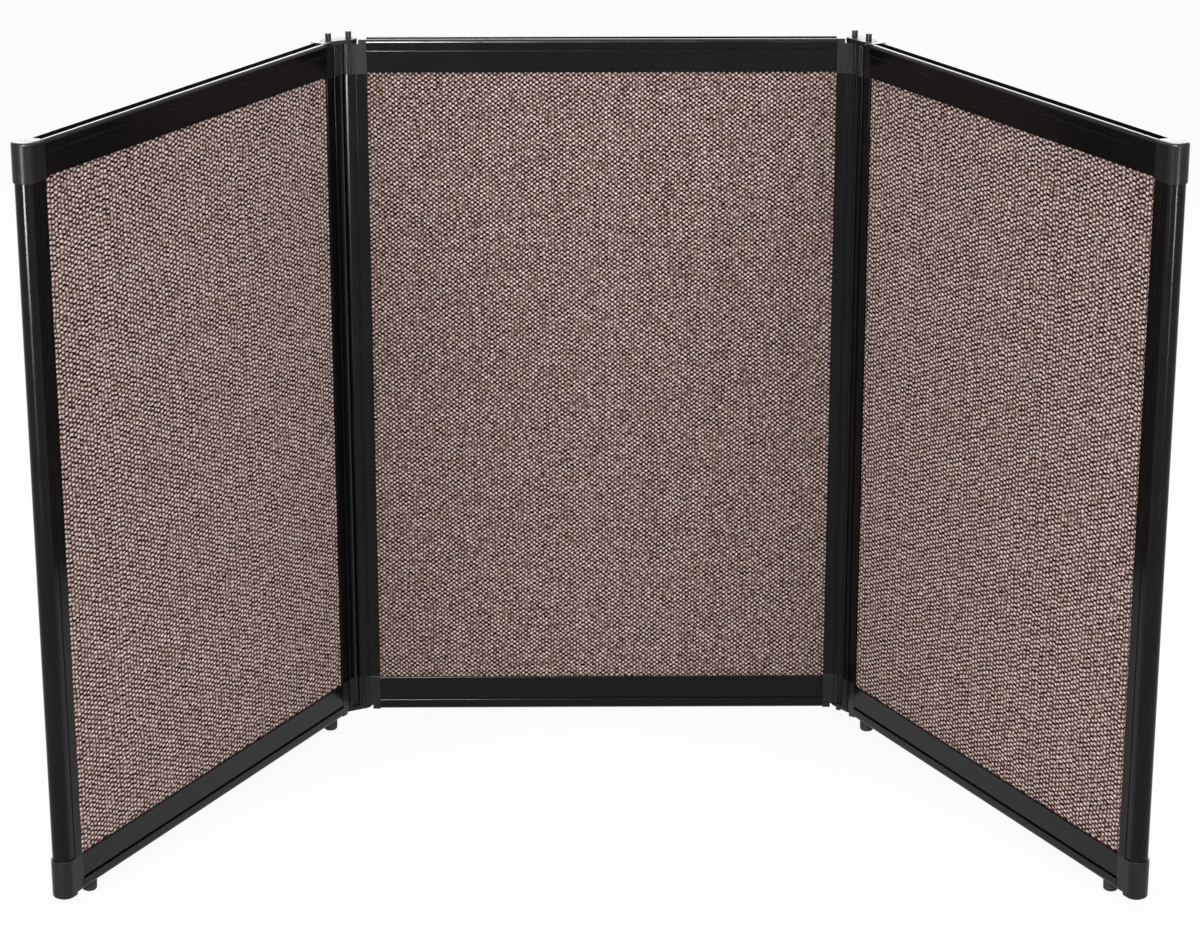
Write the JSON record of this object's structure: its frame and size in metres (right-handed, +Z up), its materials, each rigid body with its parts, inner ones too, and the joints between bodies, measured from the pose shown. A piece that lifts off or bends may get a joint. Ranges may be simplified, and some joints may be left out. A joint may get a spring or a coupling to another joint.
{
  "type": "folding tabletop divider",
  "caption": "Free-standing folding tabletop divider: tall fabric-covered panels in black frames, joined edge to edge by pin hinges that fold flat, on small round feet.",
  "frame": {"origin": "centre of the bottom of the whole object's box as pictured, on the table under the feet", "axes": "+X to the viewer's right along the centre panel, +Y away from the viewer, +Z up"},
  "size_m": [1.2748, 0.6098, 0.9171],
  "materials": {
    "frame_black": "black gloss coating",
    "cap_black": "moulded, satin gloss",
    "link_black": "moulded",
    "strip_black": "extruded, dull",
    "taupe_weave": "coarse two-tone weave",
    "core_board": "raw fibreboard",
    "key_nylon": "moulded",
    "pin_black": "black oxide",
    "zinc_steel": "zinc plated",
    "foot_rubber": "moulded, dull"
  },
  "bodies": {
    "centre_panel": {"centre_back_fabric": "taupe_weave", "centre_bottom_rail": "frame_black", "centre_core": "core_board", "centre_corner_keys": "key_nylon", "centre_front_fabric": "taupe_weave", "centre_hinge_pins": "pin_black", "centre_key_screws": "zinc_steel", "centre_left_bottom_cap": "cap_black", "centre_left_stile": "frame_black", "centre_left_top_cap": "cap_black", "centre_pin_sockets": "key_nylon", "centre_right_bottom_cap": "cap_black", "centre_right_stile": "frame_black", "centre_right_top_cap": "cap_black", "centre_top_rail": "frame_black"},
    "left_link": {"left_bottom_link": "link_black", "left_gap_strip": "strip_black", "left_top_link": "link_black"},
    "left_panel": {"left_back_fabric": "taupe_weave", "left_bottom_rail": "frame_black", "left_core": "core_board", "left_corner_keys": "key_nylon", "left_foot_nuts": "zinc_steel", "left_foot_studs": "zinc_steel", "left_front_fabric": "taupe_weave", "left_hinge_bottom_cap": "cap_black", "left_hinge_foot": "foot_rubber", "left_hinge_pins": "pin_black", "left_hinge_stile": "frame_black", "left_hinge_top_cap": "cap_black", "left_key_screws": "zinc_steel", "left_outer_bottom_cap": "cap_black", "left_outer_foot": "foot_rubber", "left_outer_stile": "frame_black", "left_outer_top_cap": "cap_black", "left_pin_sockets": "key_nylon", "left_top_rail": "frame_black"},
    "right_link": {"right_bottom_link": "link_black", "right_gap_strip": "strip_black", "right_top_link": "link_black"},
    "right_panel": {"right_back_fabric": "taupe_weave", "right_bottom_rail": "frame_black", "right_core": "core_board", "right_corner_keys": "key_nylon", "right_foot_nuts": "zinc_steel", "right_foot_studs": "zinc_steel", "right_front_fabric": "taupe_weave", "right_hinge_bottom_cap": "cap_black", "right_hinge_foot": "foot_rubber", "right_hinge_pins": "pin_black", "right_hinge_stile": "frame_black", "right_hinge_top_cap": "cap_black", "right_key_screws": "zinc_steel", "right_outer_bottom_cap": "cap_black", "right_outer_foot": "foot_rubber", "right_outer_stile": "frame_black", "right_outer_top_cap": "cap_black", "right_pin_sockets": "key_nylon", "right_top_rail": "frame_black"}
  },
  "joints": [
    {"name": "left_inner_hinge", "type": "hinge", "parent": "centre_panel", "child": "left_link", "pos_m": [-0.30673, 0.2921, 0], "axis": [0, 0, -1], "range_deg": [-2.5, 117.5]},
    {"name": "left_outer_hinge", "type": "hinge", "parent": "left_link", "child": "left_panel", "pos_m": [-0.33084, 0.27954, 0], "axis": [0, 0, -1], "range_deg": [-10.2, 122.8]},
    {"name": "right_inner_hinge", "type": "hinge", "parent": "centre_panel", "child": "right_link", "pos_m": [0.32227, 0.2921, 0], "axis": [0, 0, -1], "range_deg": [-85.5, 34.5]},
    {"name": "right_outer_hinge", "type": "hinge", "parent": "right_link", "child": "right_panel", "pos_m": [0.33767, 0.26969, 0], "axis": [0, 0, -1], "range_deg": [-37.5, 80.5]}
  ]
}
